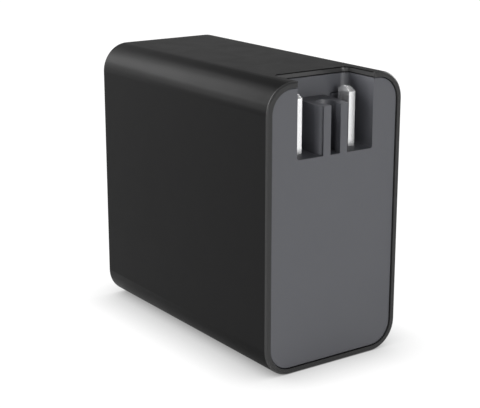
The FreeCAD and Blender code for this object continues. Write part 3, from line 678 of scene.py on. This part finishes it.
@dataclass
class Housing(SubAssembly):
    """The sleeve and its two end caps."""

    sleeve_edge: float = 0.08 * MM
    cap_edge: float = 0.2 * MM
    edge_turn: float = 28.0

    def names(self) -> Iterable[str]:
        """The names of the nodes that belong here."""
        return ("sleeve", "rear_cap", "front_cap")

    def dress(self) -> None:
        """Paint the three shells and round their edges."""
        for name in self.names():
            piece = self.paint(name)
            self.soften(piece, self.sleeve_edge if name == "sleeve" else self.cap_edge, self.edge_turn)


@dataclass
class DockContacts(SubAssembly):
    """The two upright blades in the plug dock."""

    edge: float = 0.06 * MM
    edge_turn: float = 10.0

    def names(self) -> Iterable[str]:
        """The names of the nodes that belong here."""
        return ("blade_left", "blade_right")

    def dress(self) -> None:
        """Paint the blades and round their edges."""
        for name in self.names():
            self.soften(self.paint(name), self.edge, self.edge_turn)


@dataclass
class Receptacles(SubAssembly):
    """The three USB-C receptacles."""

    parts: tuple[str, ...] = ("shell", "tongue", "contacts")

    def names(self) -> Iterable[str]:
        """The names of the nodes that belong here."""
        return tuple(f"usb_c_{part}_{level.value}" for level in Level for part in self.parts)


@dataclass
class Electronics(SubAssembly):
    """Everything else: the boards and parts sealed inside."""

    outside: set[str] = field(default_factory=set)

    def names(self) -> Iterable[str]:
        """The names of the nodes that belong here."""
        return sorted(set(self.nodes) - self.outside)


@dataclass(frozen=True)
class Softbox:
    """A rectangular studio light, aimed at a point."""

    name: str
    place: Point
    aim: Point
    width: float
    height: float
    power: float

    def build(self) -> None:
        """Make the light and report it."""
        data = bpy.data.lights.new(self.name, "AREA")
        data.shape = "RECTANGLE"
        data.size = self.width
        data.size_y = self.height
        data.energy = self.power
        lamp = bpy.data.objects.new(self.name, data)
        lamp.location = self.place
        towards = Vector(self.aim) - Vector(self.place)
        lamp.rotation_euler = towards.to_track_quat("-Z", "Y").to_euler()
        lamp.visible_camera = False
        bpy.context.scene.collection.objects.link(lamp)
        log.info("light %s", self.name)


@dataclass(frozen=True)
class Studio:
    """The room, the pale floor, the soft lights and the camera."""

    floor_size: float = 6.0
    floor_colour: Colour = (0.92, 0.92, 0.92)
    floor_share: float = 0.95
    floor_white: float = 1.06
    contact_reach: float = 10.5 * MM
    contact_tone: float = 0.75
    contact_samples: int = 16
    wall_light: float = 0.12
    ceiling_light: float = 0.26
    wall_top: tuple[float, float] = (0.0, 0.5)
    backdrop_top: tuple[float, float] = (0.0, 0.3)
    camera_place: Point = (-0.14595, -0.20788, 0.09643)
    camera_aim: Point = (-0.00109, -0.00018, 0.02550)
    lens: float = 94.59
    sensor: float = 36.0
    clip: tuple[float, float] = (0.01, 20.0)
    lights: tuple[Softbox, ...] = (
        Softbox("key", (-0.08, -2.10, 0.34), (0, -0.03, 0.03), 1.2, 1.2, 30.0),
        Softbox("side", (-1.70, -1.20, 0.45), (0, -0.03, 0.04), 0.7, 1.0, 4.0),
        Softbox("edge", (-1.22, 1.75, 1.26), (-0.01, 0, 0.05), 1.9, 1.8, 135.0),
        Softbox("sweep", (-1.35, 1.90, 0.10), (0, 0, 0.03), 1.6, 0.4, 4.0),
        Softbox("back", (0.70, 1.85, 1.20), (0, 0, 0.05), 1.6, 1.2, 1.8),
        Softbox("fill", (2.20, 0.60, 0.80), (0, 0, 0.03), 1.2, 1.2, 28.0),
    )

    def build_world(self) -> None:
        """Make the room: dim walls, a lighter ceiling, and a white backdrop for camera and gloss."""
        world = bpy.data.worlds.new("room")
        bpy.context.scene.world = world
        world.use_nodes = True
        wiring = Wiring(world.node_tree)
        towards = wiring.add("ShaderNodeTexCoord").outputs["Generated"]
        parts = wiring.add("ShaderNodeSeparateXYZ")
        wiring.join(towards, parts.inputs["Vector"])
        room = wiring.ramp(parts.outputs["Z"], self.wall_top, (self.wall_light, self.ceiling_light))
        backdrop = wiring.ramp(parts.outputs["Z"], self.backdrop_top, (1.0, 0.0))
        direct, glossy = wiring.looks()
        white = wiring.math("MAXIMUM", direct, wiring.math("MULTIPLY", glossy, backdrop))
        rest = wiring.math("MULTIPLY", wiring.math("SUBTRACT", 1.0, white), room)
        background = wiring.add("ShaderNodeBackground", {"Color": (1.0, 1.0, 1.0, 1.0)})
        output = wiring.add("ShaderNodeOutputWorld")
        wiring.join(wiring.math("ADD", white, rest), background.inputs["Strength"])
        wiring.join(background.outputs["Background"], output.inputs["Surface"])

    def build_floor(self) -> None:
        """Make the floor, which fades to white and keeps the object's shadow."""
        shape = bmesh.new()
        bmesh.ops.create_grid(shape, x_segments=1, y_segments=1, size=self.floor_size / 2)
        mesh = bpy.data.meshes.new("floor")
        shape.to_mesh(mesh)
        shape.free()
        floor = bpy.data.objects.new("floor", mesh)
        bpy.context.scene.collection.objects.link(floor)
        material = bpy.data.materials.new("floor_white")
        material.use_nodes = True
        wiring = Wiring(material.node_tree)
        paint = wiring.add("ShaderNodeBsdfDiffuse", {"Color": (*self.floor_colour, 1.0)})
        open_sky = wiring.add("ShaderNodeAmbientOcclusion", {"Distance": self.contact_reach},
                              samples=self.contact_samples)
        shadowed = (1.0 - self.contact_tone) * self.floor_white
        plain = wiring.spread(open_sky.outputs["AO"], shadowed, self.floor_white)
        glow = wiring.add("ShaderNodeEmission")
        wiring.join(plain, glow.inputs["Strength"])
        direct, glossy = wiring.looks()
        white = wiring.math("MAXIMUM", direct, glossy)
        both = wiring.add("ShaderNodeMixShader")
        wiring.join(wiring.math("MULTIPLY", white, self.floor_share), both.inputs["Fac"])
        wiring.join(paint.outputs["BSDF"], both.inputs[1])
        wiring.join(glow.outputs["Emission"], both.inputs[2])
        output = wiring.add("ShaderNodeOutputMaterial")
        wiring.join(both.outputs["Shader"], output.inputs["Surface"])
        mesh.materials.append(material)

    def build_camera(self) -> None:
        """Make the camera at the photograph's viewing angle."""
        data = bpy.data.cameras.new("view")
        data.lens = self.lens
        data.sensor_width = self.sensor
        data.clip_start, data.clip_end = self.clip
        camera = bpy.data.objects.new("view", data)
        camera.location = self.camera_place
        towards = Vector(self.camera_aim) - Vector(self.camera_place)
        camera.rotation_euler = towards.to_track_quat("-Z", "Y").to_euler()
        bpy.context.scene.collection.objects.link(camera)
        bpy.context.scene.camera = camera

    def build(self) -> None:
        """Make the whole studio."""
        self.build_world()
        self.build_floor()
        self.build_camera()
        for light in self.lights:
            light.build()
        bpy.context.scene.view_settings.view_transform = "Standard"


def main() -> None:
    """Load the frame, dress each sub-assembly and set up the studio."""
    logging.basicConfig(level=logging.INFO, format="%(name)s: %(message)s")
    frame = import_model()
    nodes = frame["nodes"]
    visible = [Housing(nodes), DockContacts(nodes), Receptacles(nodes)]
    outside = {name for assembly in visible for name in assembly.names()}
    for assembly in (*visible, Electronics(nodes, outside)):
        assembly.dress()
    Studio().build()


if __name__ == "__main__":
    main()
